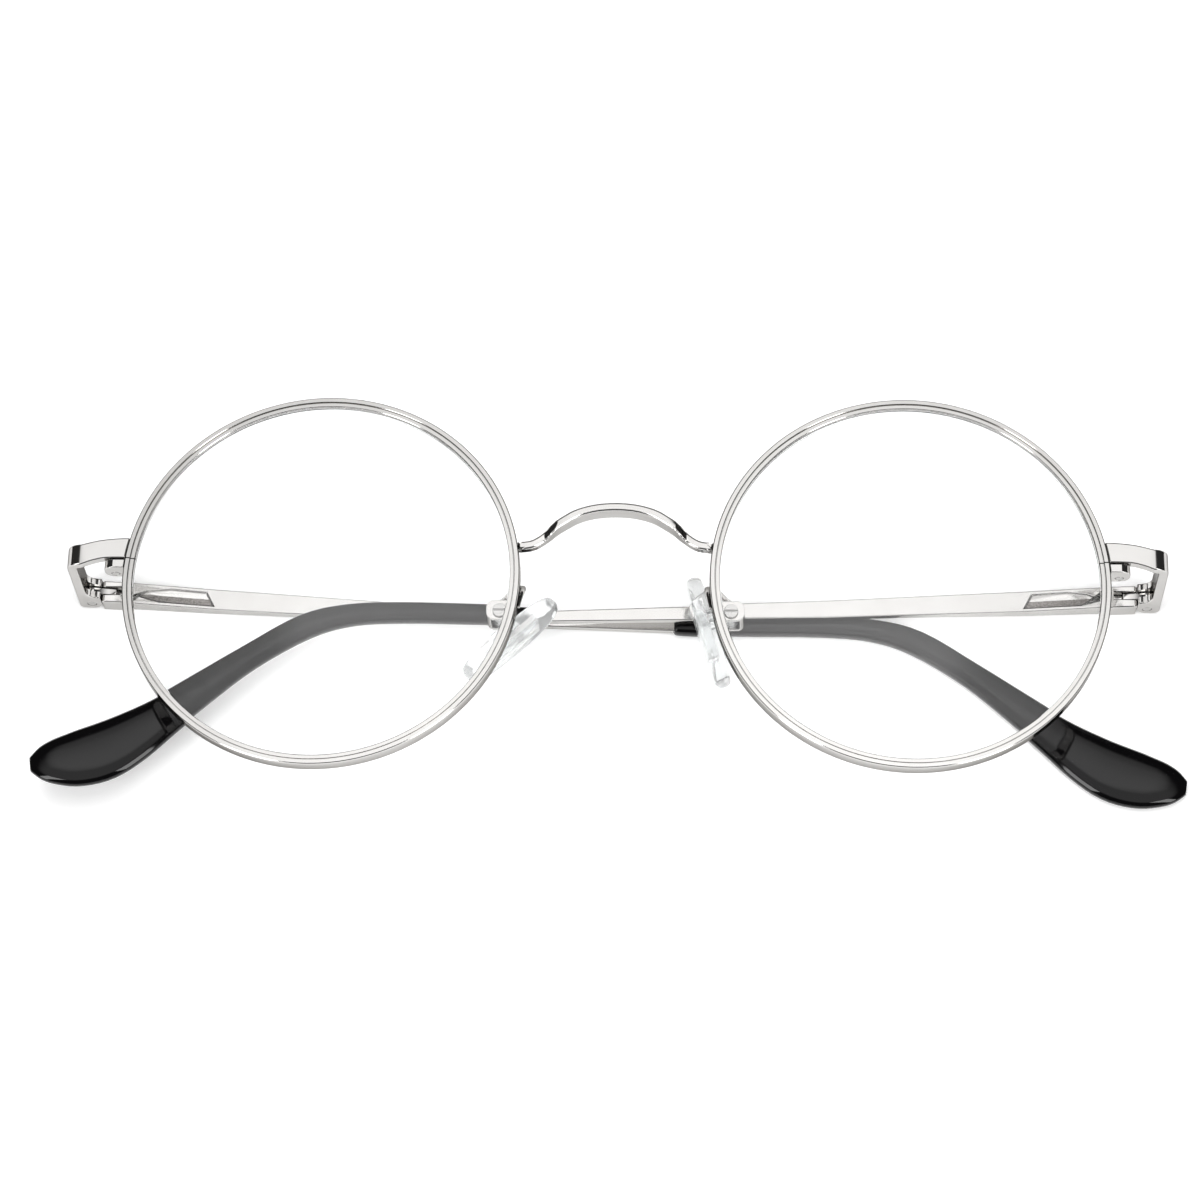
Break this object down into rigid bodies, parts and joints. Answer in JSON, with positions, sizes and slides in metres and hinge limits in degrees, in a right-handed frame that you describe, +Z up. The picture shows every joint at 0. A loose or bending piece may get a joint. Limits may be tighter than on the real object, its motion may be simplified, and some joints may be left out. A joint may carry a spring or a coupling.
{
  "type": "round eyeglasses",
  "caption": "Round wire-frame eyeglasses with clear lenses, rocking nose pads and sprung folding temples with black curved tips, lying folded",
  "frame": {"origin": "on the surface the folded glasses lie on, under the middle of the front", "axes": "+X along the front towards the wearer's left, +Y towards the brow, +Z up out of the lenses' front"},
  "size_m": [0.1487, 0.0515, 0.0165],
  "materials": {
    "frame_metal": "polished silver-coloured plating",
    "screw_steel": "bright turned steel",
    "insert_clear": "clear hard moulding",
    "lens_clear": "clear and polished",
    "pad_clear": "clear soft moulding",
    "tip_black": "glossy black moulding"
  },
  "bodies": {
    "front": {"bridge": "frame_metal", "left_rim": "frame_metal", "right_rim": "frame_metal", "left_lens": "lens_clear", "right_lens": "lens_clear", "left_endpiece": "frame_metal", "right_endpiece": "frame_metal", "left_rim_lock_upper": "frame_metal", "right_rim_lock_upper": "frame_metal", "left_rim_lock_lower": "frame_metal", "right_rim_lock_lower": "frame_metal", "left_rim_lock_screw": "screw_steel", "right_rim_lock_screw": "screw_steel", "left_hinge_screw": "screw_steel", "right_hinge_screw": "screw_steel", "left_pad_arm": "frame_metal", "right_pad_arm": "frame_metal", "left_pad_box": "frame_metal", "right_pad_box": "frame_metal", "left_pad_screw": "screw_steel", "right_pad_screw": "screw_steel"},
    "left_tongue": {"left_hinge_tongue": "frame_metal", "left_flex_stop": "screw_steel"},
    "left_temple": {"left_temple_bar": "frame_metal", "left_temple_tip": "tip_black", "left_flex_spring": "screw_steel"},
    "left_pad": {"left_nose_pad": "pad_clear", "left_pad_insert": "insert_clear"},
    "right_tongue": {"right_hinge_tongue": "frame_metal", "right_flex_stop": "screw_steel"},
    "right_temple": {"right_temple_bar": "frame_metal", "right_temple_tip": "tip_black", "right_flex_spring": "screw_steel"},
    "right_pad": {"right_nose_pad": "pad_clear", "right_pad_insert": "insert_clear"}
  },
  "joints": [
    {"name": "left_temple_fold", "type": "hinge", "parent": "front", "child": "left_tongue", "pos_m": [0.0695, 0.0033, 0.0016], "axis": [0, -1, 0], "range_deg": [0, 92.3]},
    {"name": "right_temple_fold", "type": "hinge", "parent": "front", "child": "right_tongue", "pos_m": [-0.0695, 0.0033, 0.0016], "axis": [0, 1, 0], "range_deg": [0, 90]},
    {"name": "left_temple_flex", "type": "slide", "parent": "left_tongue", "child": "left_temple", "axis": [-0.9992, 0, 0.0401], "range_m": [0, 0.0012], "stiffness_N_per_m": 3500, "springref_m": -0.0005},
    {"name": "right_temple_flex", "type": "slide", "parent": "right_tongue", "child": "right_temple", "axis": [1, 0, 0], "range_m": [0, 0.0012], "stiffness_N_per_m": 3500, "springref_m": -0.0005},
    {"name": "left_pad_rock", "type": "hinge", "parent": "front", "child": "left_pad", "pos_m": [0.015, -0.0027, 0.0083], "axis": [0, 0, 1], "range_deg": [-3, 34]},
    {"name": "right_pad_rock", "type": "hinge", "parent": "front", "child": "right_pad", "pos_m": [-0.015, -0.0027, 0.0083], "axis": [0, 0, -1], "range_deg": [-29, 3]}
  ]
}
